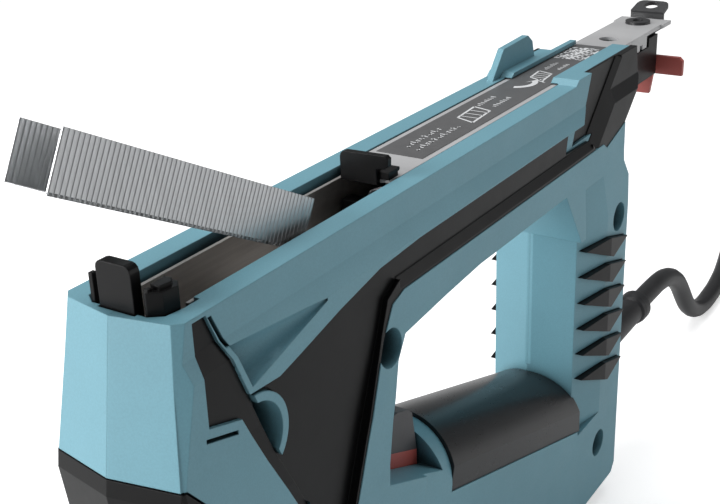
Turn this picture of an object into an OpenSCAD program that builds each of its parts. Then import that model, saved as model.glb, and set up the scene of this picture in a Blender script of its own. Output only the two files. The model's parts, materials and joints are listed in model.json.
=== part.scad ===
// Corded electric stapler, lying on its back with the magazine slide pulled open.
// X runs from the nose to the pull tab, +Z is the side that staples leave from, Y = 0 is the parting plane.
// Sub-parts are drawn from the nose ridge at rail level:
// x grows to the rear and z is negative below the rails.

/* [Body] */
// Height of the magazine rails above the surface that the tool lies on
rail_h = 150; // [149:1:152]
// Width over the two magazine rails
rail_w = 27.2; // [27:0.2:28]
// Width of the body at the beam
beam_w = 30.4; // [30.2:0.2:30.8]
// Width of the body at the handle and the column
body_w = 32; // [31.8:0.2:32.6]
// Gap between the rails, where the slide runs
rail_gap = 16.2; // [16.2:0.1:16.6]
// Lean of the front face, in degrees
nose_lean = 10.4; // [9:0.2:11]

/* [Magazine] */
// Outer width of the steel staple channel
channel_w = 13.4; // [13.2:0.1:13.6]
// Sheet thickness of the channel
channel_t = 0.8; // [0.6:0.1:0.9]
// Width of the slide's top plate
slide_w = 15.4; // [15:0.1:15.6]
// Forward travel of the slide as it is pushed shut
slide_travel = 36; // [30:1:36]

/* [Staples] */
// Width of a staple's crown
crown_w = 10.6; // [10:0.1:10.6]
// Height of a staple's legs
leg_h = 10.9; // [8:0.1:11]
// Length of the strip of staples
strip_l = 67.8; // [60:0.1:68]
// Tilt of the strip while it is being put in, in degrees
strip_tilt = 27.6; // [27:0.1:29]
// Turn of the strip across the channel, in degrees
strip_turn = 2.7; // [1:0.1:2.8]

/* [Drive] */
// Stroke of the driver blade
stroke = 17.5; // [15:0.5:17.5]
// Diameter of the plunger
plunger_d = 10.8; // [10:0.2:11]
// Width of the trigger
trigger_w = 16; // [15:0.2:16.4]

/* [Cord] */
// Diameter of the mains lead
cord_d = 7.5; // [7:0.1:7.5]
// Length of the strain relief outside the body
relief_l = 54; // [40:1:54]

/* [Hidden] */
$fn = 48;

// Colours
teal = "#7fb9c9";
charcoal = "#2a2a2b";
grey = "#8f9092";
red = "#c0392f";
steel = "silver";

// Widths halved
rail_y = rail_w / 2;
beam_y = beam_w / 2;
body_y = body_w / 2;
gap_y = rail_gap / 2;
channel_y = channel_w / 2;
slide_y = slide_w / 2;
trigger_y = trigger_w / 2;
trim_y = 12.9;      // inner plane of the side trims
riser_y = 11.4;     // inner plane of the trims where they climb to the rails
bay_y = 11;         // half width of the pockets in the handle and the column
lip_z = 1.4;        // top of the lips over the slide
lip_y = 5.9;        // half the gap between the lips
fit = 0.3;          // clearance between pieces that move past each other

// Heights and places along the tool
floor_z = -rail_h;
channel_z = -15;    // under side of the steel channel
rear_x = 210;       // back of the column
tab_x = 264;        // end of the pull tab
relief_x = rear_x + relief_l;
lead_z = -109.5;    // axis of the lead in the column
strip_foot = [48.6, -5.4, -5.6];
strip_front_x = strip_foot.x - strip_l * cos(strip_tilt) * cos(strip_turn);
nose_x = -(strip_front_x + tab_x) / 2;

// Half of the body's cross-section, as y and z
half_section = [[0, 4], [-rail_y, 4], [-rail_y, -7], [-beam_y, -11], [-beam_y, -28], [-body_y, -45],
    [-body_y, floor_z + 7], [-body_y + 4, floor_z], [0, floor_z]];

function arc(centre, r, from, to, step = 15) =
    [for (a = [from:(from < to ? step : -step):to]) centre + r * [cos(a), sin(a)]];

// Side outline of the body, as x and z; the nose facets cut its front
body_outline = concat(
    [[-12, 0], [166, 0], [168, lip_z], [211.4, lip_z], [213.4, -7.8], [200.4, -18.6], [200.6, -31],
        [209, -43], [rear_x, -84]],
    arc([184, floor_z + 26], 26, 0, -90),
    [[148, floor_z], [141, floor_z + 3], [66, floor_z + 3], [59, floor_z], [18, floor_z], [-12, -125]]);

// Where the cap takes over from the shells at the head
cap_outline = [[-14, -29.4], [-1.5, -29.4], [4, -36], [43, -77], [55, -100], [57, floor_z - 1],
    [18, floor_z - 1], [4, floor_z + 11], [-14, floor_z + 11]];
cap_gap = 0.3;

// Finger opening between the beam and the handle
opening = [[71.3, -31.6], [67.7, -36.6], [64.1, -49.8], [62.3, -60], [62.1, -65.6], [88.2, -77],
    [88.2, -63], [168, -89.5], [168, -46], [158, -28.9], [107, -28.9], [90, -30]];

// The handle's axis slopes down to the rear
handle_at = [88, 0, -83.5];
handle_tilt = 18.1;
handle_len = 96;
grip_r = 17;
core_r = 14.5;
collar_len = 2.5;
grip_end = 172.8;
column_x = 167.7;   // front edge of the column

// Slanting front edge of the side panels, from the rails down to the cap
slant = [[8.2, 1], [17.3, -19.8], [23.6, -35.3], [31.7, -51.3], [43.5, -76]];
trim_outline = [[17.3, -19.8], [26.3, -20.4], [32.9, -18.9], [46.9, -15.5], [62.1, -12.5], [78.6, -11.6],
    [168.5, -11.2], [172.8, -7.4], [176.6, lip_z + 0.1], [211.6, lip_z + 0.1], [213.7, -7.8],
    [200.6, -18.9], [186.5, -23], [184, -21.3], [71.5, -21.1], [66.7, -22.8], [62.5, -30],
    [54.5, -49], [49.5, -62], [43.4, -75.8],
    [31.7, -51.3], [23.6, -35.3]];
trim_field = [[16, -19.2], [26.3, -19.6], [32.9, -18.1], [46.9, -14.7], [62.1, -11.7], [158, -10.4],
    [174, -10.4], [176, -18.1], [70.5, -18.1], [65, -21], [61.7, -29.5], [53.7, -48.6], [48.7, -61.6],
    [43.2, -76.4], [31, -51.3], [22.8, -35.3]];
// The same trims where they climb to the rails: outline, recessed field, and lines of the raised lip
riser_outline = [[168.5, -11.2], [172.8, -7.4], [176.6, lip_z + 0.1], [211.6, lip_z + 0.1],
    [213.7, -7.8], [202.9, -17], [166, -17]];
riser_field = [[160, -17.5], [176, -18.1], [197.8, 2], [165, 2]];
beam_line = [[70.5, -18.1], [176, -18.1]];
riser_line = [[176, -18.1], [197.8, 2]];
field_depth = 1.5;
lip_slope = 61;
inlay_outline = [[5.6, -0.8], [9.2, -0.8], [17.3, -19.8], [23.6, -35.3], [31.7, -51.3], [43.2, -75.6],
    [41.6, -75.2], [29.3, -52], [20.3, -35.3], [14.5, -23.5], [5.6, -20.8]];

inlay_top = [[5.6, -0.8], [9.2, -0.8], [15.3, -15], [5.6, -15]];

// Stop that stands up beside the slide on the far side
fin_outline = [[161, -0.5], [168.4, 7.6], [184, 8.2], [187, 6], [188.4, 1]];

// Housing screws, as x and z, and the short screw in the ringed recess of the near side
screw_places = [[65, -32.4], [196.9, -48], [188.5, -124], [76, -134], [152, -138]];
head_r = 3.2;
shank_r = 1.75;
ring_at = [18, -30];
ring_r = 9.6;
ring_floor = -7.2;
ring_screw_at = ring_at + [3.2, 2.2];
scoop_r = 5.8;
scoop_at = [13, -15, -14.2];
scoop_len = 30;
scoop_rise = 5.3;
scoop_hole = [-12.4, -11.6];

// Nubs on the column, as x and z from the front tip of each
nub = [[0, 0], [14.5, -0.3], [28, -4.2], [17, -7.3]];
nub_at = [173.4, -51.2];
nub_pitch = 8.5;
nub_count = 6;

// Solenoid
coil_at = [21.5, 0];
yoke_low = -112;
yoke_high = -46;
bobbin_r = 10.5;
blade_x = [5.2, 6.2];
arm_z = -38.6;      // top of the plunger's arm at rest

// Trigger, as x and z
trigger_face = [[65.6, -63.2], [65.6, -60.8], [68, -58.2], [72, -57.4], [79, -57.9], [83.5, -59.4],
    [85.4, -61.2], [87.2, -72.4]];
skirt_low = -87.4;

// Rear end of the magazine
rod_z = -8.4;
cap_back = 246;
cheek_x = 214;      // front of the end cap's cheeks
cheek_z = -15.8;
tab_lean = 15;
tab_len = 7.9;
tab_hole = 4.6;     // from the tab's bend to the middle of its hole
lever_pin_at = [249.4, -5.4];

// Cord: it comes down to the floor behind the tool and is folded in a hank
lie_z = floor_z + cord_d / 2;
lead_route = [[relief_x, 0, lead_z], [276, 0, lead_z], [285, 0, -109.6], [295, 0, -110.9], [304, 0, -114.5],
    [312, 0, -120.2], [318.5, 0, -127.6], [325, 0, -135.2], [333, 0, -141.2],
    [342, 0, -145], [352, 0, lie_z],
    [368, 0.6, lie_z], [384, 2.4, lie_z], [400, 5.2, lie_z], [415, 8.2, lie_z], [428, 10.6, lie_z]];
hank_run = 84;                    // straight part of a run
hank_in_r = 3 * cord_d;
hank_out_r = hank_in_r + cord_d;
hank_layers = 3;
hank_at = [452, 12.3 - hank_out_r, floor_z];
hank_r = hank_out_r + cord_d / 2;
hank_h = hank_layers * cord_d;
tail_z = floor_z + hank_h + cord_d / 2 + 0.1;
plug_body = [37, 35, 13.7];
hank_waist = 12;                  // how far the tie draws each side in
tie_t = 1;
plug_at = [hank_at.x + 43, hank_at.y, floor_z + hank_h + tie_t + 0.1];
plug_tail = 16;
tie_y = hank_r - hank_waist + 0.8;
pin_r = 2.4;
pin_pitch = 19;

function unit(v) = v / norm(v);

module at_nose() translate([nose_x, 0, rail_h]) children();
// An outline in x and z, given a thickness from y0 to y1
module side_plate(points, y0, y1)
    translate([0, y1, 0]) rotate([90, 0, 0]) linear_extrude(y1 - y0) polygon(points);
// An outline in y and z, given a length from x0 to x1
module section(points, x0, x1)
    translate([x0, 0, 0]) rotate([90, 0, 90]) linear_extrude(x1 - x0) polygon(points);
// An outline in x and y, given a height from z0 to z1
module post(points, z0, z1) translate([0, 0, z0]) linear_extrude(z1 - z0) polygon(points);
// A block between two corners
module block(a, b) translate(a) cube(b - a);
// Round bars along X, Y and Z; at holds the two other coordinates
module x_bar(at, r, x0, x1) translate([x0, at.x, at.y]) rotate([0, 90, 0]) cylinder(r = r, h = x1 - x0);
module y_bar(at, r, y0, y1) translate([at.x, y1, at.y]) rotate([90, 0, 0]) cylinder(r = r, h = y1 - y0);
module z_bar(at, r, z0, z1) translate([at.x, at.y, z0]) cylinder(r = r, h = z1 - z0);
module both_sides() {
    children();
    mirror([0, 1, 0]) children();
}
// A tube swept along points
module sweep(points, r, sides) {
    n = len(points);
    rings = [for (i = [0:n - 1])
        let (d = unit(points[min(i + 1, n - 1)] - points[max(i - 1, 0)]),
            side = unit(cross(abs(d.z) > 0.9 ? [1, 0, 0] : [0, 0, 1], d)),
            up = cross(d, side))
        for (a = [0:360 / sides:359]) points[i] + r * (cos(a) * side + sin(a) * up)];
    last = (n - 1) * sides;
    polyhedron(rings, concat(
        [[for (k = [0:sides - 1]) k]],
        [[for (k = [sides - 1:-1:0]) last + k]],
        [for (i = [0:n - 2], k = [0:sides - 1])
            let (a = i * sides + k, b = i * sides + (k + 1) % sides)
            each [[a, a + sides, b + sides], [a, b + sides, b]]]));
}
// A coil spring along Z, standing on z = 0
module spring(r, wire_r, length, turns, steps = 10)
    sweep([for (i = [0:steps * turns])
        [r * cos(i * 360 / steps), r * sin(i * 360 / steps),
            wire_r + (length - 2 * wire_r) * i / steps / turns]], wire_r, 5);
module screw(length) difference() {
    union() {
        cylinder(r = head_r, h = 2.4);
        translate([0, 0, -length]) cylinder(r = shank_r, h = length + 0.2);
    }
    for (a = [0, 90]) rotate(a) translate([-2, -0.4, 1.2]) cube([4, 0.8, 2]);
}

// Region of the side behind the slanting edge
module behind_slant(shift)
    side_plate(concat([for (p = slant) p + [shift, 0]], [[60, -76], [60, 1]]), -body_y - 3, 0);

module facet_cut(lean, z0, z1)
    rotate([0, lean, 0]) post([[0, 0], [5.7, -30], [-40, -30], [-40, 0]], z0, z1);
module corner_cut(z0, z1) post([[0, 0], [20, -20], [-20, -20], [-20, 0]], z0, z1);

module nose_facets() {
    facet_cut(nose_lean, -70, 20);
    translate([2.1, -11.7, 0]) rotate([-5.7, 8.4, 0]) corner_cut(-70, 20);
}

// Hollows of the near half; the far half mirrors them
module pockets() {
    // slide and channel, open at the rear
    block([12.6, -gap_y, channel_z], [rear_x + 5, 1, 0.2]);
    block([12.6, -gap_y, 0], [165, 1, 1]);
    block([163, -lip_y, -1], [rear_x + 5, 1, 5]);
    // room for the end cap and its cheeks when the slide is in
    block([cheek_x - slide_travel - 1, -gap_y, cheek_z - 0.4], [rear_x + 5, -channel_y, channel_z + 1]);
    block([200.5, -gap_y, cheek_z - 0.4], [rear_x + 5, 1, channel_z + 1]);
    // contact tip with its spring, nose guide, and the blade behind
    block([1.9, -4.3, -34], [6.8, 1, 1]);
    block([1.6, -2, -34], [5, 1, -20]);
    post([[2.7, 1], [2.7, -6.4], [4.5, -8.9], [8.6, -9.5], [12.7, -9.5], [12.7, 1]], -7.2, 1);
    block([4.8, -5.7, -34], [6.8, 1, 1]);
    block([6, -channel_y - 0.1, channel_z - 1.6], [12.8, 1, 1]);
    block([4.8, -5.8, -47], [28, 1, arm_z + stroke + 2.6]);
    // beam
    block([76, -10.8, -26.6], [192, 1, -18.6]);
    // solenoid
    side_plate([[3.4, -44], [3.4, -50], [12.8, -146], [47, -146], [47, -100], [36, -77], [36, -44]],
        -12.1, 1);
    // trigger slot, and the hollow of the handle
    block([63.4, -trigger_y - fit, -100], [88.1, 1, -60]);
    side_plate([[63.4, -84], [88, -80.5], [176, -108.5], [200, -112], [200, -126], [180, -144], [60, -144],
        [60, -110]], -bay_y, 1);
    // column
    side_plate([[176, -34], [203, -48], [203, -116], [176, -108]], -bay_y, 1);
    // slot of the power dial
    block([94, -3.2, floor_z - 1], [114, 1, -130]);
}

// Ribs and bosses that stand in the hollows
module ribs() {
    for (p = screw_places) y_bar(p, 5.6, -bay_y - 0.9, 0);
    block([63, -bay_y - 0.5, -113], [88, 0, -110.2]);
    block([183, -bay_y - 0.5, -122], [190, 0, -105.8]);
    block([96, -bay_y - 0.5, -134.4], [146, 0, -132.4]);
}

module ribs_cuts() {
    // seat of the lead under its clamp
    block([182, -5.2, lead_z - 3.85], [191, 1, -100]);
    // room for the dial
    block([93, -9.2, -136], [115, 1, -130.6]);
}

// Near half of the column above the handle's axis, with its front facets
module column(grow) post([[column_x - grow, 1], [column_x - grow, 0], [172 - grow, -13 - grow],
    [188, -body_y - grow], [188, 1]], -130, -40);

module handle_rounding() difference() {
    intersection() {
        translate(handle_at) rotate([0, handle_tilt, 0]) difference() {
            block([-12, -20, 0], [handle_len, 1, 30]);
            rotate([0, 90, 0]) translate([0, 0, -13]) cylinder(r = grip_r - 1, h = collar_len + 13);
            rotate([0, 90, 0]) cylinder(r = core_r, h = handle_len);
        }
        block([74, -20, -140], [grip_end + 0.2, 1, -50]);
    }
    column(0);
}

module column_facets() {
    difference() {
        post([[column_x - 1, 0], [188, 0], [188, -20], [column_x - 1, -20]], -93, -46);
        column(0);
    }
    post([[171, -12.8], [188, -body_y], [188, -20], [171, -20]], -112, -31);
    post([[203.6, -body_y - 1], [rear_x + 0.6, -6], [rear_x + 6, -6], [rear_x + 6, -body_y - 1]],
        floor_z - 1, -32);
}

module nub_row(grow) for (i = [0:nub_count - 1])
    translate([nub_at.x, 0, nub_at.y - i * nub_pitch]) side_plate(nub * grow, -body_y - 2.5, -12);

module half_body(screw_heads) difference() {
    union() {
        difference() {
            intersection() {
                side_plate(body_outline, -body_y - 1, 0);
                section(half_section, -12, rear_x + 1);
            }
            nose_facets();
            side_plate(cap_outline, -body_y - 2, 1);
            side_plate(opening, -body_y - 2, 1);
            pockets();
            handle_rounding();
            column_facets();
            side_plate(trim_outline, -body_y - 2, -trim_y);
            side_plate(riser_outline, -body_y - 2, -riser_y);
            side_plate(inlay_outline, -body_y - 2, -trim_y);
            side_plate(inlay_top, -body_y - 2, -riser_y);
            translate([-0.5, 0, 0.2]) nub_row(1.04);
            // way for a screwdriver beside the magazine, with a hole at its deep end
            intersection() {
                translate(scoop_at) rotate([0, 90 - scoop_rise, 0])
                    cylinder(r1 = scoop_r, r2 = 0.3, h = scoop_len);
                behind_slant(1.4);
            }
            x_bar(scoop_hole, 2.6, 9.5, 17);
            // grooves beside the inlay
            side_plate([[9.6, -1.4], [10.6, -1.4], [14, -8.6], [13, -8.6]], -body_y, -11.4);
            side_plate([[4.6, -22.4], [13.2, -25], [13.2, -25.9], [4.6, -23.3]], -body_y, -beam_y + 2.4);
        }
        difference() {
            ribs();
            ribs_cuts();
        }
        intersection() {
            y_bar(ring_at, ring_r, -beam_y - 0.3, -8);
            behind_slant(0.6);
        }
    }
    for (p = screw_places) {
        y_bar(p, shank_r + 0.05, screw_heads ? -body_y - 2 : -bay_y - 0.5, 1);
        if (screw_heads) y_bar(p, 4.5, -body_y - 2, -7);
    }
    intersection() {
        y_bar(ring_at, ring_r - 1.8, -body_y - 2, -trim_y + 0.1);
        behind_slant(0.6);
    }
    y_bar(ring_at, ring_r - 1.8, -trim_y, ring_floor);
    if (screw_heads) y_bar(ring_screw_at, shank_r, ring_floor - 1, -5.7);
    // collars of the strain relief
    x_bar([0, lead_z], 5.3, 190.5, rear_x + 2);
    x_bar([0, lead_z], 8.2, 198.4, 202.8);
}

// The far lip ends before the near one
module far_step() block([196.5, 7.8, -2.2], [rear_x + 6, 20, 6]);

module housing_near() color(teal) at_nose() half_body(true);

module housing_far() color(teal) at_nose() {
    difference() {
        mirror([0, 1, 0]) half_body(false);
        far_step();
    }
    // stop that stands up beside the rear of the slide
    side_plate(fin_outline, 9.4, riser_y - 0.1);
}

module head_cap() color(charcoal) at_nose() difference() {
    intersection() {
        side_plate([for (p = cap_outline) p + [-cap_gap, -cap_gap]], -body_y - 1, body_y + 1);
        both_sides() section(half_section, -12, 60);
        block([-12, -20, floor_z], [60, 20, 0]);
    }
    both_sides() {
        facet_cut(nose_lean, -36, 20);
        translate([-5.9, 0, -34]) facet_cut(-7, -130, 2);
        translate([-2.3, -14.9, -32]) rotate([0, -7, 0]) corner_cut(-130, 12);
        pockets();
    }
}

// Slope from the recessed field up to the lip, along a line; floor_y is the field's depth
module lip_cut(line, floor_y) {
    way = line[1] - line[0];
    translate([line[0].x, floor_y, line[0].y]) rotate([0, -atan2(way.y, way.x), 0])
        rotate([lip_slope, 0, 0])
        block([-0.4, -6, 0], [norm(way) + 0.4, -0.15, 6]);
}

module side_trim() intersection() {
    difference() {
        union() {
            side_plate(trim_outline, -body_y - 1, -trim_y);
            side_plate(riser_outline, -body_y - 1, -riser_y);
        }
        side_plate(trim_field, -body_y - 2, -beam_y + field_depth);
        side_plate(riser_field, -body_y - 2, -rail_y + field_depth);
        lip_cut(beam_line, -beam_y + field_depth);
        lip_cut(riser_line, -rail_y + field_depth);
        y_bar(ring_at, ring_r + 0.3, -body_y - 2, 0);
    }
    section([for (p = half_section) [p.x + (p.x < 0 ? 0.2 : 0), p.y]], -12, rear_x + 5);
}
module side_trim_near() color(charcoal) at_nose() side_trim();
module side_trim_far() color(charcoal) at_nose() difference() {
    mirror([0, 1, 0]) side_trim();
    far_step();
}

module head_inlay() intersection() {
    difference() {
        union() {
            side_plate(inlay_outline, -body_y - 1, -trim_y);
            side_plate(inlay_top, -body_y - 1, -riser_y);
        }
        nose_facets();
    }
    section([for (p = half_section) [p.x + (p.x < 0 ? 0.8 : 0), p.y]], -12, 60);
}
module head_inlay_near() color(charcoal) at_nose() head_inlay();
module head_inlay_far() color(charcoal) at_nose() mirror([0, 1, 0]) head_inlay();

module soft_grip() color(charcoal) at_nose() difference() {
    intersection() {
        translate(handle_at) rotate([0, handle_tilt, 0]) difference() {
            rotate([0, 90, 0]) translate([0, 0, collar_len]) cylinder(r = grip_r, h = handle_len);
            rotate([0, 90, 0]) cylinder(r = core_r, h = handle_len + 5);
            block([0, -20, -20], [handle_len + 5, 20, 0]);
        }
        block([80, -body_y + 0.3, -140], [grip_end, body_y - 0.3, -50]);
    }
    both_sides() column(0.1);
}

module grip_nubs() intersection() {
    nub_row(1);
    post([[172.8, -15.4], [188, -body_y - 1.5], [203.2, -body_y - 1.5], [203.2, -12], [172.8, -12]],
        -110, -40);
}
module grip_nubs_near() color(charcoal) at_nose() grip_nubs();
module grip_nubs_far() color(charcoal) at_nose() mirror([0, 1, 0]) grip_nubs();

module housing_screws() color(steel) at_nose() {
    for (p = screw_places) translate([p.x, -7, p.y]) rotate([90, 0, 0]) screw(17);
    translate([ring_screw_at.x, ring_floor, ring_screw_at.y]) rotate([90, 0, 0]) screw(1.2);
}

// Plate in front of the blade that has to be pressed on the work
module contact_tip() color(charcoal) at_nose() difference() {
    section(concat([[4, -21]], arc([2.6, 7.4], 1.4, 0, 90, 30),
        arc([-2.6, 7.4], 1.4, 90, 180, 30), [[-4, -21]]),
        2.3, 4.6);
    block([4, -2.6, -16], [5, 2.6, -3]);
}

module tip_spring() color(steel) at_nose() translate([3.4, 0, -34]) spring(1.3, 0.3, 13, 7);

module nose_guide() color(charcoal) at_nose() {
    // near block with a small latch on top
    post([[3, -5.8], [3, -6.3], [4.8, -8.6], [8.2, -9.1], [9.6, -7.8], [9.6, -5.8]], -7, 4.3);
    post([[4.9, -5.8], [4.9, -7.8], [7.4, -8.3], [8.6, -7.4], [8.6, -5.8]], 4.1, 5.2);
    block([3.2, -6.7, 4.1], [4.2, -5.8, 4.9]);
    // cheeks and floor that carry the first staple
    block([7, -channel_y, channel_z - 1.5], [12.4, -5.8, -6]);
    block([7, -channel_y, channel_z - 1.5], [12.4, channel_y, channel_z + 0.4]);
    block([7, 5.6, channel_z - 1.5], [12.4, channel_y, -1.5]);
    block([3.7, 5.8, -7], [12.4, 7.4, -1.5]);
    block([3, 5.8, -7], [4.2, 6.7, 5.4]);
}

module magazine_channel() color(steel) at_nose() difference() {
    block([12.9, -channel_y, channel_z], [200, channel_y, -1.6]);
    block([12, -channel_y + channel_t, channel_z + channel_t], [201, channel_y - channel_t, 0]);
}

module magazine_slide() color("#c9cac9") at_nose() difference() {
    union() {
        // top plate with rounded front corners
        post(concat([[249, -slide_y], [249, slide_y]], arc([83.6, slide_y - 3], 3, 90, 180, 30),
            arc([83.6, -slide_y + 3], 3, 180, 270, 30)), -1.4, -0.2);
        block([248.4, -8.5, -1.4], [256, 8.5, -0.2]);
        // side strips over the channel, notched as a rack
        for (s = [-1, 1]) difference() {
            block([86, s < 0 ? -slide_y : channel_y + fit, -5],
                [236, s < 0 ? -channel_y - fit : slide_y, -1.3]);
            for (x = [92:6:230]) block([x, -10, -6], [x + 2.4, 10, -3.4]);
        }
    }
    z_bar([223, 0], 3, -3, 1);
    z_bar([248, 0], 1.6, -3, 1);
}

module slide_label() color("#4a4b4d") at_nose() block([95.5, -6.2, -0.2], [212, 6.2, -0.05]);

module slide_tab() color(charcoal) at_nose() {
    // upright front of the slide, with a rounded far corner and an arm at the near end
    section(concat([[-4.4, -1.4], [5, -1.4]], arc([3.6, 4], 1.4, 0, 90, 30),
        [[-6.8, 5.6], [-7.5, 5], [-7.4, 3.2], [-6.6, 2.6], [-4.4, 2.4]]), 78.6, 80);
    block([79.6, -5.2, -0.2], [84, 5, 0.6]);
    block([79.6, -7, -0.2], [83.4, -4.6, 1.6]);
    // wire hook
    y_bar([84, 1.2], 0.5, -6.8, -2);
    x_bar([-2.4, 1.2], 0.5, 79.8, 84.2);
}

module pusher() color(charcoal) at_nose() difference() {
    union() {
        block([79, -5.2, channel_z + channel_t + fit], [83, 5.2, -6.4]);
        block([83, -4.4, channel_z + channel_t + fit], [90, 4.4, -12.4]);
    }
    block([78, -3.6, -11], [80.2, 3.6, -8]);
}

module pusher_spring() color(steel) at_nose() translate([83, 0, rod_z]) rotate([0, 90, 0])
    spring(2.9, 0.4, 155, 20, 8);

module guide_rod() color(steel) at_nose() x_bar([0, rod_z], 1.6, 118, 244);

module end_cap() color(charcoal) at_nose() difference() {
    union() {
        block([238, -slide_y, cheek_z], [cap_back, slide_y, -2.6]);
        // cheeks along the sides of the slide
        both_sides() block([cheek_x, -slide_y, cheek_z], [239, -channel_y - fit, -5.3]);
        block([228, -5.5, -3.6], [239, 5.5, -1.4]);
        // ribs on the back
        for (y = [-6, 4.8]) block([cap_back - 0.2, y, -12], [cap_back + 0.6, y + 1.2, -8]);
    }
    x_bar([0, rod_z], 1.6, 230, 244);
    block([240, -5.6, -3.6], [cap_back + 1, 5.6, -2]);
}

// The pull tab leans up towards its end
module tab_plane() translate([256.3, 0, 1]) rotate([0, -tab_lean, 0]) children();

module pull_bracket() color("#3b3c3e") at_nose() difference() {
    union() {
        block([240.4, -5.4, -2.6], [257.4, 5.4, -1.4]);
        block([246.4, -6.5, -2.6], [257.4, 6.5, -1.4]);
        block([256.2, -5.6, -2.6], [257.4, 5.6, 1.4]);
        tab_plane() post(concat([[0, -5.6]], arc([tab_len - 2.5, -2.9], 2.5, -90, 0, 30),
            arc([tab_len - 2.5, 2.9], 2.5, 0, 90, 30), [[0, 5.6]]), 0, 1.2);
        for (y = [-5, 3.8]) block([247.4, y, -7.4], [251.4, y + 1.2, -2]);
    }
    tab_plane() z_bar([tab_hole, 0], 2.35, -1, 2);
    z_bar([248, 0], 1.6, -4, 0);
    y_bar(lever_pin_at, 0.9, -6, 6);
}

module bracket_rivet() color(steel) at_nose() difference() {
    union() {
        z_bar([248, 0], 4, -0.2, 0.7);
        z_bar([248, 0], 1.6, -2.8, 0);
        z_bar([248, 0], 2.2, -3.3, -2.6);
    }
    z_bar([248, 0], 1.7, 0.2, 1);
}

module release_lever() color(red) at_nose() difference() {
    union() {
        y_bar(lever_pin_at, 1.8, -1.8, 1.8);
        block([248.2, -1.8, -10.8], [250.4, 1.8, -5.4]);
        // cross bar and ribbed thumb piece
        section([[-15.8, -16.5], [-15.8, -11.7], [-14.6, -10.5],
            [14.6, -10.5], [15.8, -11.7], [15.8, -16.5],
            [6, -16.5], [5, -23.5], [-5, -23.5], [-6, -16.5]], 248.2, 250);
        for (z = [-22.4:2:-17]) block([249.9, -4.4, z], [250.8, 4.4, z + 0.8]);
    }
    y_bar(lever_pin_at, 0.95, -3, 3);
}

module lever_pin() color(steel) at_nose() y_bar(lever_pin_at, 0.9, -5.6, 5.6);

module lever_spring() color(steel) at_nose() for (y = [2.2:0.62:3.5])
    translate([lever_pin_at.x, y, lever_pin_at.y]) rotate([90, 0, 0]) rotate_extrude() translate([1.3, 0])
        circle(r = 0.28, $fn = 16);

module staple_strip() color(steel) at_nose() translate(strip_foot) rotate([0, strip_tilt, -strip_turn])
    difference() {
        block([-strip_l, 0, 0], [0, crown_w, leg_h]);
        block([-strip_l - 1, 0.6, 0.6], [1, crown_w - 0.6, leg_h + 1]);
    }

module solenoid_yoke() color(steel) at_nose() difference() {
    union() {
        block([9.9, -12, yoke_low], [33.4, 12, yoke_low + 3]);
        block([9.9, -12, yoke_high - 3], [33.4, 12, yoke_high]);
        both_sides() block([9.9, -12, yoke_low], [33.4, -11, yoke_high]);
    }
    z_bar(coil_at, plunger_d / 2 + fit, yoke_high - 4, yoke_high + 1);
    z_bar(coil_at, 2 + fit, yoke_low - 1, yoke_low + 4);
}

module solenoid_bobbin() color("#d9d4c4") at_nose() difference() {
    union() {
        z_bar(coil_at, 6.8, yoke_low + 3, yoke_high - 3);
        z_bar(coil_at, bobbin_r + 0.5, yoke_low + 3, yoke_low + 5);
        z_bar(coil_at, bobbin_r + 0.5, yoke_high - 5, yoke_high - 3);
    }
    z_bar(coil_at, plunger_d / 2 + fit, yoke_low, yoke_high);
}

module solenoid_coil() color("#b5652f") at_nose() difference() {
    z_bar(coil_at, bobbin_r, yoke_low + 5, yoke_high - 5);
    z_bar(coil_at, 6.8, yoke_low, yoke_high);
}

module plunger() color(steel) at_nose() {
    z_bar(coil_at, plunger_d / 2, -96, -42);
    z_bar(coil_at, 2, -139, -95);
    z_bar(coil_at, 4.6, -140.5, -138.5);
    // arm that carries the blade
    block([blade_x[0], -4, arm_z - 3.6], [coil_at.x + 3, 4, arm_z]);
}

module driver_blade() color("#a9acae") at_nose() difference() {
    block([blade_x[0], -4.9, arm_z], [blade_x[1], 4.9, channel_z - 0.5]);
    block([blade_x[0] - 1, -1.2, -34], [blade_x[1] + 1, 1.2, -26]);
}

module return_spring() color(steel) at_nose() translate([coil_at.x, coil_at.y, -138.5])
    spring(3.4, 0.45, 26.4, 7);

module bumper() color("#1d1d1e") at_nose() difference() {
    z_bar(coil_at, 7, -146, -140.6);
    z_bar(coil_at, 3, -143, -140);
}

module circuit_board() color("#2f6b46") at_nose() difference() {
    block([116, -9.6, -132.4], [148, 9.6, -130.8]);
    for (x = [119, 145], y = [-7.4, 7.4]) z_bar([x, y], 1.2, -133, -130);
}

module board_parts() color("#3a3f4a") at_nose() {
    x_bar([-4.6, -126], 4.8, 119, 138);
    block([122, 2.6, -130.8], [134, 8.8, -121]);
    block([138, -2, -130.8], [141, 6, -120]);
    for (x = [143, 145.4]) z_bar([x, -6], 1, -130.8, -124);
}

module trigger() color(grey) at_nose() side_plate(trigger_face, -trigger_y, trigger_y);

module trigger_skirt() color(red) at_nose() {
    side_plate([trigger_face[0], [65.6, skirt_low], [87.2, skirt_low], trigger_face[len(trigger_face) - 1]],
        -trigger_y, trigger_y);
    // flange that holds the trigger in its slot
    block([64.2, -9.8, skirt_low - 2], [87.6, 9.8, skirt_low + 0.2]);
}

module trigger_spring() color(steel) at_nose() translate([69, 0, -110.2]) spring(2.6, 0.4, 20.8, 7);

module trigger_switch() color(charcoal) at_nose() {
    block([75, -4, -110.2], [86, 4, -101.6]);
    z_bar([79, 0], 1.2, -102, -99.6);
}

module power_dial() color(charcoal) at_nose() difference() {
    y_bar([104, -138.6], 8.9, -2.7, 2.7);
    for (a = [0:20:340])
        translate([104, 0, -138.6]) rotate([0, a, 0]) translate([9.3, 3, 0]) rotate([90, 0, 0])
        cylinder(r = 0.9, h = 6, $fn = 16);
    y_bar([104, -138.6], 1.5, -1, 3);
}

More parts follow.
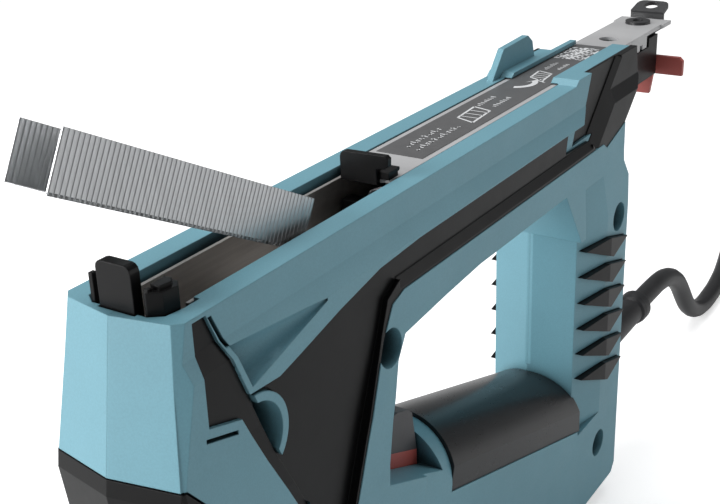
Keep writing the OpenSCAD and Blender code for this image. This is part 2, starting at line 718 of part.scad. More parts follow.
module dial_potentiometer() color("#35507a") at_nose() {
    block([97, 3.4, -143.4], [111, 8.6, -134.6]);
    y_bar([104, -138.6], 1.5, -0.9, 3.5);
}

module inner_lead() color("#1d1d1e") at_nose() x_bar([0, lead_z], cord_d / 2, 181, 198.4);

module cord_clamp() color(grey) at_nose() difference() {
    block([183.4, -9.6, -105.8], [189.6, 9.6, -101.6]);
    x_bar([0, lead_z], cord_d / 2, 180, 192);
    for (y = [-7.4, 7.4]) z_bar([186.5, y], 1.3, -107, -100);
}

module clamp_screws() color(steel) at_nose() for (y = [-7.4, 7.4]) {
    z_bar([186.5, y], 2.2, -101.6, -99.8);
    z_bar([186.5, y], 1.3, -105.8, -101.4);
}

module strain_relief() color("#1d1d1e") at_nose()
    translate([0, 0, lead_z]) rotate([0, 90, 0]) rotate_extrude()
    polygon([[0, 198.4], [8.1, 198.4], [8.1, 202.8], [5.2, 202.8], [5.2, rear_x + 1], [6.2, rear_x + 1.6],
        [6.2, rear_x + 4], [5.4, rear_x + 6], [4.9, relief_x - 8], [5.6, relief_x - 7], [5.9, relief_x - 5],
        [5.9, relief_x - 1.5], [5, relief_x], [0, relief_x]]);

module cord_lead() color("#1d1d1e") at_nose() sweep(lead_route, cord_d / 2, 10);

// Half width of the hank along its run; the tie draws the middle in
function hank_half(x) = hank_r - hank_waist * (1 - cos(360 * x / hank_run)) / 2;

module cord_hank() color("#1d1d1e") at_nose() translate(hank_at) {
    for (x = [0, hank_run]) translate([x, 0, 0]) cylinder(r = hank_r, h = hank_h);
    post(concat([for (x = [0:7:hank_run]) [x, hank_half(x)]],
        [for (x = [hank_run:-7:0]) [x, -hank_half(x)]]),
        0, hank_h);
}

// The cord swings back over the hank and climbs to the plug on the tie
tail_bend = [for (p = [[8, 21.4, 0], [16, 18.4, 0.2], [24, 12.4, 0.5],
        [30.5, 6, 0.8], [36, 1.7, 1], [39.5, 0.2, 1]])
    [hank_at.x + p.x, hank_at.y + p.y, tail_z + p.z * (plug_at.z + plug_body.z / 2 - tail_z)]];
module cord_tail() color("#1d1d1e") at_nose()
    sweep(concat(
        [for (a = [200:-18:90]) [hank_at.x + hank_in_r * cos(a), hank_at.y + hank_in_r * sin(a), tail_z]],
        tail_bend, [plug_at + [-0.2, 0, plug_body.z / 2]]), cord_d / 2, 10);

module mains_plug() color("#1d1d1e") at_nose() translate(plug_at) {
    // tapered tail, then a flat body with rounded sides
    translate([0, 0, plug_body.z / 2]) rotate([0, 90, 0])
        cylinder(r1 = cord_d / 2 + 0.8, r2 = 6.2, h = plug_tail + 2);
    difference() {
        intersection() {
            translate([plug_tail, -plug_body.y / 2, 0]) cube(plug_body);
            translate([plug_tail + plug_body.x / 2, 0, -1]) cylinder(r = 23, h = 20);
        }
        for (s = [-1, 1])
            translate([plug_tail + 14, s * (plug_body.y / 2 + 16), -1]) cylinder(r = 18.5, h = 20);
    }
}

module plug_pins() color("#d9cfa8") at_nose() translate(plug_at) for (s = [-1, 1])
    translate([plug_tail + plug_body.x, s * pin_pitch / 2, plug_body.z / 2]) rotate([0, 90, 0])
        cylinder(r = pin_r, h = 19);

module cord_tie() color(charcoal) at_nose() translate([hank_at.x + hank_run / 2, hank_at.y, hank_at.z])
    difference() {
        block([-6, -tie_y - tie_t, 0], [6, tie_y + tie_t, hank_h + tie_t]);
        block([-7, -tie_y, -1], [7, tie_y, hank_h]);
    }

housing_near();
housing_far();
head_cap();
side_trim_near();
side_trim_far();
head_inlay_near();
head_inlay_far();
soft_grip();
grip_nubs_near();
grip_nubs_far();
housing_screws();
contact_tip();
tip_spring();
nose_guide();
magazine_channel();
magazine_slide();
slide_label();
slide_tab();
pusher();
pusher_spring();
guide_rod();
end_cap();
pull_bracket();
bracket_rivet();
release_lever();
lever_pin();
lever_spring();
staple_strip();
solenoid_yoke();
solenoid_bobbin();
solenoid_coil();
plunger();
driver_blade();
return_spring();
bumper();
circuit_board();
board_parts();
trigger();
trigger_skirt();
trigger_spring();
trigger_switch();
power_dial();
dial_potentiometer();
inner_lead();
cord_clamp();
clamp_screws();
strain_relief();
cord_lead();
cord_hank();
cord_tail();
mains_plug();
plug_pins();
cord_tie();
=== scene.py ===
"""Looks for the corded electric stapler: cord, staples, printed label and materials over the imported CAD."""
import json
import math

import bpy
from mathutils import Matrix, Vector


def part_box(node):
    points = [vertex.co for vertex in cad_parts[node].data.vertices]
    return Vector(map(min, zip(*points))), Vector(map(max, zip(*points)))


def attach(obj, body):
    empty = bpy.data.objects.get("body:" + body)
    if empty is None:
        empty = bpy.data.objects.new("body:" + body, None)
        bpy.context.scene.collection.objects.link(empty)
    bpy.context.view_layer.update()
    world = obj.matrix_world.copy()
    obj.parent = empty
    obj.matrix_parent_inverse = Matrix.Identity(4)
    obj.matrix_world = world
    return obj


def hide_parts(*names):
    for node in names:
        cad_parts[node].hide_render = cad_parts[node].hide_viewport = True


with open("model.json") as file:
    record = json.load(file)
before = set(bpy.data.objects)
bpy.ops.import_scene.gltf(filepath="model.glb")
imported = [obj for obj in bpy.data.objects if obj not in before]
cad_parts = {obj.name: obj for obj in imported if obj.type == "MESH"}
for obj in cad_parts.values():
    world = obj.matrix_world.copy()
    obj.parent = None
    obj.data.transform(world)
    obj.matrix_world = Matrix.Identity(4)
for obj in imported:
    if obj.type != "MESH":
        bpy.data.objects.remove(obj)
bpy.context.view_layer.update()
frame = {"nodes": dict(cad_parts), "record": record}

MM = 0.001
NODES = frame["nodes"]

# The nose ridge at rail level, found from two pieces: the tip stands behind it, the channel's edges below it
TIP_SETBACK, CHANNEL_DROP = 2.3, 1.6
NOSE = Vector((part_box("contact_tip")[0][0] - TIP_SETBACK * MM, 0,
               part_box("magazine_channel")[1][2] + CHANNEL_DROP * MM))
FLOOR = -NOSE.z / MM


def at(x, y, z):
    """A point given in millimetres from the nose ridge, in metres in the frame."""
    return NOSE + Vector((x, y, z)) * MM


def link(name, data):
    obj = bpy.data.objects.new(name, data)
    bpy.context.scene.collection.objects.link(obj)
    return obj


def joined(shapes):
    """One mesh's points and faces from a list of separate ones."""
    points, faces = [], []
    for corners, sides in shapes:
        faces += [tuple(len(points) + k for k in side) for side in sides]
        points += corners
    return points, faces


def mesh_piece(name, points, faces, body):
    """A flat-shaded mesh piece from points in metres; it rides on a body."""
    data = bpy.data.meshes.new(name)
    data.from_pydata([tuple(p) for p in points], [], faces)
    data.validate()
    data.shade_flat()
    obj = link(name, data)
    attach(obj, body)
    return obj


# ---- Camera ----
# It stands ahead of the nose and beside it, above the rails, and looks to the rear
EYE = at(-126.3, -135.8, 86.8)
RIGHT = Vector((0.5408, -0.8403, -0.0368))
UP = Vector((0.3485, 0.1841, 0.919))
SENSOR, LENS = 36, 59.16
NEAREST = 0.01


def make_camera():
    data = bpy.data.cameras.new("camera")
    data.sensor_width = SENSOR
    data.lens = LENS
    data.clip_start = NEAREST
    camera = link("camera", data)
    right = RIGHT.normalized()
    up = (UP - right * UP.dot(right)).normalized()
    back = right.cross(up)
    camera.matrix_world = Matrix.Translation(EYE) @ Matrix((right, up, back)).transposed().to_4x4()
    bpy.context.scene.camera = camera


make_camera()


# ---- Cord ----
# From the sleeve it comes down to the floor; the rest is folded in a tied hank with the plug on top
CORD = 7.5                # thickness
LIE = FLOOR + CORD / 2    # height of its middle where it lies on the floor
LEAD_Z = -109.5           # height of its middle at the sleeve
LEAD = [(264, 0, LEAD_Z), (276, 0, LEAD_Z), (285, 0, -109.6), (295, 0, -110.9), (304, 0, -114.5),
        (312, 0, -120.2), (318.5, 0, -127.6), (325, 0, -135.2), (333, 0, -141.2), (342, 0, -145),
        (352, 0, LIE), (368, 0.6, LIE), (384, 2.4, LIE), (400, 5.2, LIE), (415, 8.2, LIE),
        (428, 10.6, LIE)]
INNER, OUTER = 3 * CORD, 4 * CORD         # radii of the folds
HANK_X, HANK_Y = 452, 12.3 - OUTER        # centre of the near folds
HANK_START = (440, 12, LIE)
RUN = 84                                  # straight part between the folds
WAIST = 12                                # how far the tie draws each run in
SEGMENTS = 12                             # steps along each run and each fold
LAYERS = [LIE + i * CORD for i in range(3)]
GAP = 0.1                                 # clearance over the hank and over its tie
HANK_TOP = FLOOR + len(LAYERS) * CORD
TAIL_Z = HANK_TOP + CORD / 2 + GAP
TIE, PLUG_HEIGHT = 1, 13.7
PLUG_Z = HANK_TOP + TIE + GAP + PLUG_HEIGHT / 2
# The cord's end on its way into the plug: place from the near folds' centre, share of the rise
TAIL_BEND = [(8, 21.4, 0), (16, 18.4, 0.2), (24, 12.4, 0.5), (30.5, 6, 0.8), (36, 1.7, 1),
             (39.5, 0.2, 1), (42.9, 0, 1)]


def run_points(side, track_from, track_to, z_from, z_to):
    """One straight run of the hank, drawn in at the middle by the tie; side +1 goes towards +x."""
    points = []
    for i in range(1, SEGMENTS):
        t = i / SEGMENTS
        ease = t * t * (3 - 2 * t)
        track = track_from + (track_to - track_from) * ease - WAIST * (1 - math.cos(2 * math.pi * t)) / 2
        x = HANK_X + RUN * (t if side > 0 else 1 - t)
        points.append((x, HANK_Y + side * track, z_from + (z_to - z_from) * ease))
    return points


def fold_points(end, y_from, y_to, z_from, z_to):
    """One half turn at an end of the hank: end +1 is the far one, -1 the near one."""
    centre, radius = (y_from + y_to) / 2, abs(y_to - y_from) / 2
    points = []
    for i in range(SEGMENTS + 1):
        t = i / SEGMENTS
        turn = math.pi * t
        y = centre + math.copysign(radius, y_from - centre) * math.cos(turn)
        x = (HANK_X + RUN if end > 0 else HANK_X) + end * radius * math.sin(turn)
        points.append((x, HANK_Y + y, z_from + (z_to - z_from) * (1 - math.cos(turn)) / 2))
    return points


def hank_points():
    """Two turns in each layer: outer then inner, inner then outer, outer then inner."""
    points = [HANK_START]
    orders = [(OUTER, INNER), (INNER, OUTER), (OUTER, INNER)]
    for layer, (z, (first, second)) in enumerate(zip(LAYERS, orders)):
        for track, following in ((first, second), (second, None)):
            points += run_points(1, track, track, z, z)
            points += fold_points(1, track, -track, z, z)
            points += run_points(-1, track, track, z, z)
            if following is not None:
                points += fold_points(-1, -track, following, z, z)
            elif layer + 1 < len(LAYERS):
                points += fold_points(-1, -track, track, z, LAYERS[layer + 1])
    return points


def tail_points():
    """From the last turn, round the near fold, then back over the hank and up to the plug on the tie."""
    points = []
    for i in range(SEGMENTS + 1):
        turn = math.pi * i / SEGMENTS
        climb = min(1, 2 * i / SEGMENTS)
        points.append((HANK_X - INNER * math.sin(turn), HANK_Y - INNER * math.cos(turn),
                       LAYERS[-1] + (TAIL_Z - LAYERS[-1]) * climb))
    for x, y, share in TAIL_BEND:
        points.append((HANK_X + x, HANK_Y + y, TAIL_Z + (PLUG_Z - TAIL_Z) * share))
    return points


def smooth_line(points, step=3.0, rounds=2):
    """Points spread evenly along the line, then eased towards their neighbours."""
    line = [Vector(p) for p in points]
    spread = [line[0]]
    for a, b in zip(line, line[1:]):
        parts = max(1, round((b - a).length / step))
        spread += [a.lerp(b, i / parts) for i in range(1, parts + 1)]
    for _ in range(rounds):
        inner = [(a + b * 2 + c) / 4 for a, b, c in zip(spread, spread[1:], spread[2:])]
        spread = [spread[0]] + inner + [spread[-1]]
    return spread


def make_cord():
    """The whole mains lead as one round curve; each point's radius scales a bevel of one metre."""
    line = smooth_line(LEAD) + smooth_line([LEAD[-1]] + hank_points() + tail_points())[1:]
    data = bpy.data.curves.new("mains_lead", "CURVE")
    data.dimensions = "3D"
    data.bevel_depth = 1
    data.bevel_resolution = 5
    data.use_fill_caps = True
    spline = data.splines.new("POLY")
    spline.points.add(len(line) - 1)
    for point, p in zip(spline.points, line):
        point.co = (*at(*p), 1)
        point.radius = CORD / 2 * MM
    spline.use_smooth = True
    obj = link("mains_lead", data)
    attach(obj, "body")
    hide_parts("cord_lead", "cord_hank", "cord_tail")
    return obj


CORD_PIECE = make_cord()


# ---- Staples ----
# The strip's foot stands in the mouth of the channel, and the strip slopes up from it over the nose
STRIP_FOOT = (48.6, -5.4, -5.6)
STRIP_LENGTH, CROWN, LEG = 67.8, 10.6, 10.9
STRIP_TILT, STRIP_TURN = math.radians(27.6), math.radians(-2.7)
PITCH = 1.13
WIRE, WIRE_SHARE, WIRE_TRIM = 0.6, 0.9, 0.17    # thickness, breadth as a share of the pitch, trim
FILM_OUTER, FILM_INNER = 0.1, 0.45    # depths of the glue film from the strip's outside
FILM_SHORT, FILM_TRIM = 0.15, 0.02


def box_shape(low, high, trim):
    """Corners and faces of a bar with its four long edges trimmed, as two rings of eight."""
    along = max(range(3), key=lambda k: high[k] - low[k])
    a, b = [k for k in range(3) if k != along]
    ring = [(low[a] + trim, low[b]), (high[a] - trim, low[b]),
            (high[a], low[b] + trim), (high[a], high[b] - trim),
            (high[a] - trim, high[b]), (low[a] + trim, high[b]),
            (low[a], high[b] - trim), (low[a], low[b] + trim)]
    points = []
    for end in (low[along], high[along]):
        for u, v in ring:
            point = [0, 0, 0]
            point[along], point[a], point[b] = end, u, v
            points.append(tuple(point))
    faces = [tuple(range(7, -1, -1)), tuple(range(8, 16))]
    faces += [(i, (i + 1) % 8, 8 + (i + 1) % 8, 8 + i) for i in range(8)]
    return points, faces


def staple_bars(x0, x1, outer, inner, top):
    """Two legs and the crown between them; outer and inner are depths from the strip's outside."""
    return [((x0, outer, outer), (x1, inner, top)),
            ((x0, CROWN - inner, outer), (x1, CROWN - outer, top)),
            ((x0, outer, outer), (x1, CROWN - outer, inner))]


def make_staples():
    """The strip: flat-wire staples side by side, and a film of glue just inside them."""
    turn = Matrix.Rotation(STRIP_TURN, 3, "Z") @ Matrix.Rotation(STRIP_TILT, 3, "Y")
    count = int(STRIP_LENGTH / PITCH)
    step = STRIP_LENGTH / count
    shapes = []
    for i in range(count):
        x0 = -STRIP_LENGTH + (i + (1 - WIRE_SHARE) / 2) * step
        for low, high in staple_bars(x0, x0 + WIRE_SHARE * step, 0, WIRE, LEG):
            shapes.append(box_shape(low, high, WIRE_TRIM))
    for low, high in staple_bars(-STRIP_LENGTH, 0, FILM_OUTER, FILM_INNER, LEG - FILM_SHORT):
        shapes.append(box_shape(low, high, FILM_TRIM))
    points, faces = joined(shapes)
    foot = Vector(STRIP_FOOT)
    placed = [at(*(foot + turn @ Vector(p))) for p in points]
    piece = mesh_piece("staples", placed, faces, "strip")
    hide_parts("staple_strip")
    return piece


STAPLES = make_staples()


# ---- Print on the slide's label ----
# Places are in millimetres along and across the slide; nothing printed can be read
LABEL_Z = 0.0
FRONT_ROWS = ((0.6, 101, 117), (-2.6, 100, 120))    # across, start, end
SIDE_ROWS = ((1.6, 139, 149), (-2.4, 140, 150), (1.4, 180, 188), (-2.2, 181, 188))
FRAMES = ((125, -3.6, 11, 6.2), (168, -2.6, 8, 5.4))    # along, across, length, depth
FRAME_SLOPE, FRAME_LEAN, FRAME_RISE, FRAME_LINE = 2.2, 1.6, 0.8, 0.6
FRAME_STROKES, FRAME_MARGIN = 3, 0.8
STROKE, FOOT_LENGTH, FOOT_WIDTH = 0.45, 0.9, 0.35    # a stroke and the foot beside it
ARROW_X, ARROW_Y = 164, 3.6
ARROW_OUTER, ARROW_INNER = (6.2, 6.2), (4.4, 4.6)       # radii along and across
ARROW_START, ARROW_STEP, ARROW_STEPS = 200, 13, 9       # degrees
ARROW_HEAD = [(166.4, -4.2), (169.6, -1.4), (164.6, 1.2)]
PATCH_X, PATCH_Y, PATCH_CELL = 193.5, -5.6, 0.62
PATCH_COLUMNS, PATCH_ROWS = 24, 18


def bar(x, y, length, width):
    """A printed stroke or cell."""
    return [(x, y), (x + length, y), (x + length, y + width), (x, y + width)]


def letter_rows():
    """Two rows of strokes near the front that stand for lettering."""
    shapes = []
    for row, start, end in FRONT_ROWS:
        x = start
        step = 0
        while x < end:
            shapes.append(bar(x, row, STROKE, 0.7 + 0.55 * ((step * 7) % 3)))
            shapes.append(bar(x, row + 0.9 * (step % 2), FOOT_LENGTH, FOOT_WIDTH))
            x += 1.5 if step % 4 else 2.1
            step += 1
    return shapes


def picture_frames():
    """Two slanting frames with three strokes in each, like strips of staples."""
    shapes = []
    for x, y, length, depth in FRAMES:
        corners = [(x, y), (x + length, y + FRAME_RISE), (x + length + FRAME_LEAN, y + depth),
                   (x + FRAME_SLOPE, y + depth - FRAME_RISE)]
        for a, b in zip(corners, corners[1:] + corners[:1]):
            way = Vector((b[0] - a[0], b[1] - a[1])).normalized()
            side = Vector((-way.y, way.x)) * FRAME_LINE / 2
            shapes.append([(a[0] - side.x, a[1] - side.y), (b[0] - side.x, b[1] - side.y),
                           (b[0] + side.x, b[1] + side.y), (a[0] + side.x, a[1] + side.y)])
        for k in range(1, FRAME_STROKES + 1):
            along = x + FRAME_MARGIN + k * length / (FRAME_STROKES + 1)
            shapes.append(bar(along, y + 0.5, 0.4, depth - 1.2))
    return shapes


def side_strokes():
    """Short rows of strokes beside the frames."""
    shapes = []
    for row, start, end in SIDE_ROWS:
        x = start
        step = 0
        while x < end:
            shapes.append(bar(x, row, 0.5, 0.9 + 0.3 * ((step * 5) % 3)))
            x += 1.25
            step += 1
    return shapes


def arrow_outline():
    """A bent arrow that points along the slide."""
    outer, inner = [], []
    for i in range(ARROW_STEPS):
        turn = math.radians(ARROW_START + ARROW_STEP * i)
        for side, (along, across) in ((outer, ARROW_OUTER), (inner, ARROW_INNER)):
            side.append((ARROW_X + along * math.cos(turn), ARROW_Y + across * math.sin(turn)))
    return outer + ARROW_HEAD + inner[::-1]


def patch_cells():
    """A patch of small cells made by a sum rule; it holds no data."""
    shapes = []
    for i in range(PATCH_COLUMNS):
        for j in range(PATCH_ROWS):
            if (i * i * 3 + j * j * 5 + i * j * 7 + i + 2 * j) % 11 < 6:
                shapes.append(bar(PATCH_X + i * PATCH_CELL, PATCH_Y + j * PATCH_CELL, PATCH_CELL, PATCH_CELL))
    return shapes


def make_print():
    """All the printed marks as one thin piece that moves with the slide."""
    outlines = letter_rows() + picture_frames() + side_strokes() + [arrow_outline()] + patch_cells()
    points, faces = joined([(outline, [range(len(outline))]) for outline in outlines])
    return mesh_piece("label_marks", [at(x, y, LABEL_Z) for x, y in points], faces, "slide")


LABEL_MARKS = make_print()


# ---- Material building ----
class Maker:
    """Builds one node material step by step."""

    def __init__(self, name, roughness=0.5, metallic=0.0, **sockets):
        self.material = bpy.data.materials.new(name)
        self.material.use_nodes = True
        self.nodes = self.material.node_tree.nodes
        self.links = self.material.node_tree.links
        self.shader = self.nodes["Principled BSDF"]
        self.shader.inputs["Metallic"].default_value = metallic
        self.shader.inputs["Roughness"].default_value = roughness
        for socket, value in sockets.items():
            self.shader.inputs[socket.replace("_", " ")].default_value = value
        self.normal = None
        self.coords = self.nodes.new("ShaderNodeTexCoord").outputs["Object"]

    def node(self, kind, inputs=(), **settings):
        """Adds a node; an input is given as a value or as the socket that feeds it."""
        made = self.nodes.new(kind)
        for key, value in settings.items():
            setattr(made, key, value)
        for key, value in dict(inputs).items():
            if isinstance(value, bpy.types.NodeSocket):
                self.links.new(value, made.inputs[key])
            else:
                made.inputs[key].default_value = value
        return made

    def noise(self, scale, detail=3.0, roughness=0.55, stretch=(1, 1, 1)):
        mapped = self.node("ShaderNodeMapping", {"Vector": self.coords, "Scale": stretch})
        made = self.node("ShaderNodeTexNoise", {"Vector": mapped.outputs[0], "Scale": scale,
                                                "Detail": detail, "Roughness": roughness})
        return made.outputs["Fac"]

    def ramp(self, factor, stops):
        """A colour ramp; stops are (place, colour or grey level)."""
        made = self.node("ShaderNodeValToRGB", {"Fac": factor})
        elements = made.color_ramp.elements
        while len(elements) < len(stops):
            elements.new(0.5)
        for element, (place, colour) in zip(elements, stops):
            element.position = place
            element.color = (*colour, 1) if isinstance(colour, tuple) else (colour, colour, colour, 1)
        return made.outputs["Color"]

    def mix(self, factor, a, b, blend="MIX"):
        """A colour mix: the node's inputs 0, 6 and 7 are the factor and the two colours."""
        made = self.node("ShaderNodeMix", data_type="RGBA", blend_type=blend)
        for index, value in ((0, factor), (6, a), (7, b)):
            if isinstance(value, bpy.types.NodeSocket):
                self.links.new(value, made.inputs[index])
            else:
                made.inputs[index].default_value = value
        return made.outputs[2]

    def shade(self, base, reach):
        """Paints shade into a colour: darker down in narrow holes and grooves, from ambient occlusion, reach
        in metres.
        """
        near = self.node("ShaderNodeAmbientOcclusion", {"Distance": reach}, samples=8)
        return self.mix(1.0, base, self.ramp(near.outputs["AO"], [(0.2, 0.1), (0.62, 1.0)]), "MULTIPLY")

    def colour(self, socket):
        self.links.new(socket, self.shader.inputs["Base Color"])

    def roughness(self, factor, low, high):
        made = self.node("ShaderNodeMapRange", {"Value": factor, "To Min": low, "To Max": high})
        self.links.new(made.outputs[0], self.shader.inputs["Roughness"])

    def bump(self, height, strength, distance):
        """Adds a bump over any that is there, distance in millimetres."""
        inputs = {"Height": height, "Strength": strength, "Distance": distance * MM}
        if self.normal is not None:
            inputs["Normal"] = self.normal
        self.normal = self.node("ShaderNodeBump", inputs).outputs[0]

    def round_edges(self, radius):
        """Moulded and pressed edges catch light as small rounds, radius in millimetres."""
        made = self.node("ShaderNodeBevel", {"Radius": radius * MM}, samples=4)
        self.normal = made.outputs[0]

    def done(self):
        if self.normal is not None:
            self.links.new(self.normal, self.shader.inputs["Normal"])
        return self.material


def tint(colour, factor):
    return tuple(min(1.0, c * factor) for c in colour)


def moulded(name, colour, roughness, edge=0.35, grain=0.012, wear=None, painted_shade_reach=None, **sockets):
    """Moulded plastic: fine eroded grain, faint flow shading and handled, shinier patches; with a reach for
    it, painted shade darkens narrow holes and grooves.
    """
    make = Maker(name, **sockets)
    make.round_edges(edge)
    flow = make.noise(22, 4, 0.6)
    speck = make.noise(2600, 2, 0.5)
    base = make.ramp(flow, [(0.3, tint(colour, 0.93)), (0.7, tint(colour, 1.05))])
    fine = make.ramp(speck, [(0.35, 0.93), (0.65, 1.05)])
    base = make.mix(0.6, base, fine, "MULTIPLY")
    if wear:
        scuff = make.noise(90, 8, 0.75, (1, 1, 2.2))
        base = make.mix(make.ramp(scuff, [(0.66, 0.0), (0.78, 0.55)]), base, (*wear, 1))
    # Painted shade: the colour is made darker down in narrow holes and grooves, where shade falls
    if painted_shade_reach:
        base = make.shade(base, painted_shade_reach)
    make.colour(base)
    make.roughness(make.noise(140, 5, 0.65), roughness - 0.07, roughness + 0.08)
    make.bump(speck, 0.55, grain)
    make.bump(make.noise(420, 3, 0.5), 0.25, grain)
    return make.done()


def metal(name, colour, roughness, stretch=(1, 1, 1), edge=0.15, scratch=0.006, spots=None):
    """Rolled, drawn or ground metal: brushed along one way, with duller spots."""
    make = Maker(name, metallic=1.0)
    make.round_edges(edge)
    lines = make.noise(900, 6, 0.7, stretch)
    cloud = make.noise(60, 4, 0.6)
    base = make.ramp(lines, [(0.3, tint(colour, 0.86)), (0.7, tint(colour, 1.08))])
    if spots:
        base = make.mix(make.ramp(cloud, [(0.52, 0.0), (0.68, 0.6)]), base, (*spots, 1))
    make.colour(base)
    make.roughness(make.mix(0.5, lines, cloud), roughness - 0.1, roughness + 0.14)
    make.bump(lines, 0.4, scratch)
    return make.done()


def coated(name, colour, roughness, chip=(0.35, 0.35, 0.36), edge=0.25):
    """Coated sheet metal with orange peel and rubbed specks."""
    make = Maker(name, roughness, Coat_Weight=0.15, Coat_Roughness=0.25)
    make.round_edges(edge)
    peel = make.noise(700, 3, 0.5)
    rub = make.noise(320, 8, 0.8)
    base = make.ramp(make.noise(40, 4), [(0.3, tint(colour, 0.9)), (0.7, tint(colour, 1.1))])
    base = make.mix(make.ramp(rub, [(0.7, 0.0), (0.76, 0.7)]), base, (*chip, 1))
    make.colour(base)
    make.roughness(rub, roughness - 0.08, roughness + 0.12)
    make.bump(peel, 0.5, 0.01)
    return make.done()


def rubber(name, colour, roughness, edge=0.4, grain=0.01):
    """Soft overmoulding: dark, softly shining, with dust in its grain."""
    make = Maker(name, Specular_IOR_Level=0.35, Sheen_Weight=0.03, Sheen_Roughness=0.5)
    make.round_edges(edge)
    fine = make.noise(1500, 3, 0.5)
    dust = make.noise(110, 7, 0.75)
    base = make.ramp(dust, [(0.35, colour), (0.8, tint(colour, 2.2))])
    make.colour(base)
    make.roughness(make.mix(0.5, dust, fine), roughness - 0.06, roughness + 0.1)
    make.bump(fine, 0.4, grain)
    return make.done()


def woven(name, colour):
    """A hook-and-loop band: crossing threads with a fuzzy sheen."""
    make = Maker(name, 0.9, Sheen_Weight=0.5, Sheen_Roughness=0.6)
    threads = []
    for direction in ("X", "Y"):
        wave = make.node("ShaderNodeTexWave", {"Vector": make.coords, "Scale": 350.0, "Distortion": 0.8},
                         wave_type="BANDS", bands_direction=direction)
        threads.append(wave.outputs["Fac"])
    weave = make.mix(0.5, *threads)
    make.colour(make.ramp(weave, [(0.2, tint(colour, 0.6)), (0.8, tint(colour, 1.6))]))
    make.bump(weave, 0.7, 0.12)
    make.bump(make.noise(2500, 4, 0.8), 0.6, 0.06)
    return make.done()


def wound(name, colour):
    """Enamelled winding: fine turns round the Z axis."""
    make = Maker(name, 0.3, metallic=0.9, Coat_Weight=0.5)
    turns = make.node("ShaderNodeTexWave", {"Vector": make.coords, "Scale": 420.0, "Distortion": 0.3},
                      wave_type="BANDS", bands_direction="Z").outputs["Fac"]
    make.colour(make.ramp(turns, [(0.1, tint(colour, 0.35)), (0.6, colour)]))
    make.bump(turns, 0.8, 0.15)
    return make.done()


def board(name, colour):
    """Solder resist over copper tracks."""
    make = Maker(name, 0.3, Coat_Weight=0.4)
    cells = make.node("ShaderNodeTexVoronoi", {"Vector": make.coords, "Scale": 190.0}, distance="MANHATTAN",
                      feature="DISTANCE_TO_EDGE").outputs["Distance"]
    make.colour(make.ramp(cells, [(0.03, tint(colour, 1.9)), (0.06, colour)]))
    make.bump(cells, 0.3, 0.03)
    return make.done()


def printed(name, colour):
    """A printed film: smooth, faintly dusty."""
    make = Maker(name, 0.42)
    dust = make.noise(260, 8, 0.8)
    make.colour(make.ramp(dust, [(0.3, tint(colour, 0.92)), (0.75, tint(colour, 1.18))]))
    make.roughness(dust, 0.36, 0.55)
    make.bump(make.noise(1800, 2), 0.2, 0.004)
    return make.done()


TEAL = (0.155, 0.35, 0.425)
BLACK = (0.004, 0.004, 0.0043)
MATERIALS = {
    # The teal shell's colour has painted shade in its screw wells, holes and grooves
    "teal_shell": moulded("teal_shell", TEAL, 0.46, painted_shade_reach=0.009),
    "charcoal_plastic": moulded("charcoal_plastic", BLACK, 0.34, wear=(0.02, 0.02, 0.021),
                                Specular_IOR_Level=0.18),
    "soft_grip_rubber": rubber("soft_grip_rubber", (0.005, 0.005, 0.0056), 0.27),
    "fastener_steel": metal("fastener_steel", (0.5, 0.5, 0.51), 0.32),
    "spring_steel": metal("spring_steel", (0.42, 0.42, 0.43), 0.3),
    "channel_steel": metal("channel_steel", (0.62, 0.6, 0.58), 0.4, (0.05, 1, 1), spots=(0.4, 0.38, 0.36)),
    "slide_plate": coated("slide_plate", (0.5, 0.5, 0.505), 0.3),
    "label_print": printed("label_print", (0.1, 0.1, 0.102)),
    "dark_bracket": coated("dark_bracket", (0.02, 0.02, 0.022), 0.36),
    "red_plastic": moulded("red_plastic", (0.42, 0.09, 0.075), 0.42),
    "staple_wire": metal("staple_wire", (0.56, 0.57, 0.58), 0.33, (1, 1, 0.06), edge=0.08),
    "machined_steel": metal("machined_steel", (0.45, 0.45, 0.46), 0.28, (1, 1, 0.1)),
    "bobbin_plastic": moulded("bobbin_plastic", (0.6, 0.56, 0.44), 0.5),
    "copper_winding": wound("copper_winding", (0.72, 0.32, 0.14)),
    "board_laminate": board("board_laminate", (0.02, 0.14, 0.06)),
    "component_mix": moulded("component_mix", (0.03, 0.035, 0.06), 0.4),
    "trigger_grey": moulded("trigger_grey", (0.06, 0.06, 0.064), 0.42),
    "cord_rubber": rubber("cord_rubber", (0.011, 0.011, 0.012), 0.42),
    "pin_brass": metal("pin_brass", (0.68, 0.66, 0.58), 0.22, edge=0.4),
    "tie_fabric": woven("tie_fabric", (0.02, 0.02, 0.021)),
    "print_white": printed("print_white", (0.72, 0.73, 0.74)),
}


def dress(obj, name):
    """Gives a piece one material."""
    obj.data.materials.clear()
    obj.data.materials.append(MATERIALS[name])


for part in frame["record"]["subparts"]:
    dress(NODES[part["node"]], part["material_slot"])
dress(CORD_PIECE, "cord_rubber")
dress(STAPLES, "staple_wire")
dress(LABEL_MARKS, "print_white")


# ---- Room ----
FLOOR_HALF = 6.0
FLOOR_GLOW, FILL = 0.55, 0.2
MIDDLE = at(100, 0, -60)
# name, place and aim from the middle of the tool in metres, size, watts
LIGHTS = (("nose_key", (-1.1, 0.75, 0.4), (0, 0, 0), (0.8, 0.8), 19),
          ("top", (0.15, 0.25, 1.2), (0, 0, 0), (1.4, 1.0), 12),
          ("side_fill", (0.42, -0.5, 0.12), (0.08, 0, 0), (0.4, 0.3), 0.5))


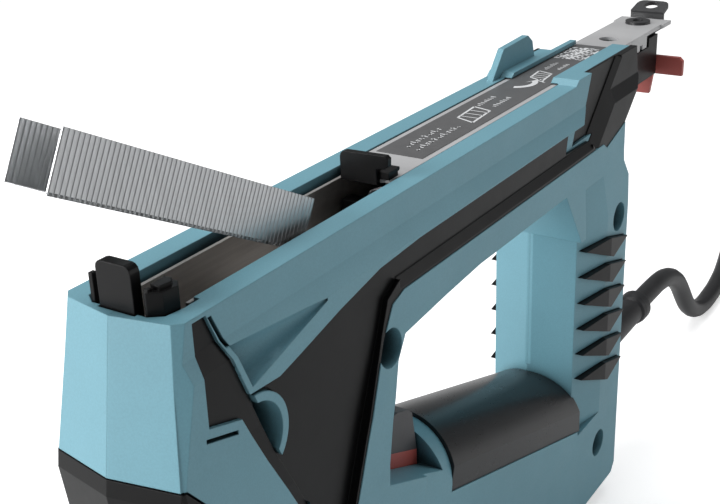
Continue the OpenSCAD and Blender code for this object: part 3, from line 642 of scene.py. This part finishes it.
def soft_light(name, place, aim, size, power):
    data = bpy.data.lights.new(name, "AREA")
    data.shape = "RECTANGLE"
    data.size, data.size_y = size
    data.energy = power
    light = link(name, data)
    turn = (aim - place).to_track_quat("-Z", "Y")
    light.matrix_world = Matrix.Translation(place) @ turn.to_matrix().to_4x4()


def make_floor():
    """A pale floor that looks white to the camera and doesn't light the tool more."""
    data = bpy.data.meshes.new("floor")
    corners = [(-FLOOR_HALF, -FLOOR_HALF, 0), (FLOOR_HALF, -FLOOR_HALF, 0),
               (FLOOR_HALF, FLOOR_HALF, 0), (-FLOOR_HALF, FLOOR_HALF, 0)]
    data.from_pydata(corners, [], [(0, 1, 2, 3)])
    floor = link("floor", data)
    make = Maker("pale_floor", 0.75)
    make.colour(make.ramp(make.noise(3, 4), [(0.3, 0.82), (0.7, 0.86)]))
    rays = make.node("ShaderNodeLightPath")
    glow = make.node("ShaderNodeMapRange", {"Value": rays.outputs["Is Camera Ray"], "To Max": FLOOR_GLOW})
    make.links.new(glow.outputs[0], make.shader.inputs["Emission Strength"])
    make.shader.inputs["Emission Color"].default_value = (1, 1, 1, 1)
    floor.data.materials.append(make.done())


def make_world():
    """White behind the object, and a dimmer even light on it."""
    world = bpy.data.worlds.new("soft_room")
    world.use_nodes = True
    tree = world.node_tree
    seen = tree.nodes["Background"]
    seen.inputs["Color"].default_value = (1, 1, 1, 1)
    light = tree.nodes.new("ShaderNodeBackground")
    light.inputs["Color"].default_value = (0.96, 0.98, 1, 1)
    light.inputs["Strength"].default_value = FILL
    mixed = tree.nodes.new("ShaderNodeMixShader")
    rays = tree.nodes.new("ShaderNodeLightPath")
    tree.links.new(rays.outputs["Is Camera Ray"], mixed.inputs[0])
    tree.links.new(light.outputs[0], mixed.inputs[1])
    tree.links.new(seen.outputs[0], mixed.inputs[2])
    tree.links.new(mixed.outputs[0], tree.nodes["World Output"].inputs["Surface"])
    bpy.context.scene.world = world


make_floor()
make_world()
for name, place, aim, size, power in LIGHTS:
    soft_light(name, MIDDLE + Vector(place), MIDDLE + Vector(aim), size, power)
bpy.context.scene.view_settings.view_transform = "Standard"

bpy.context.view_layer.update()
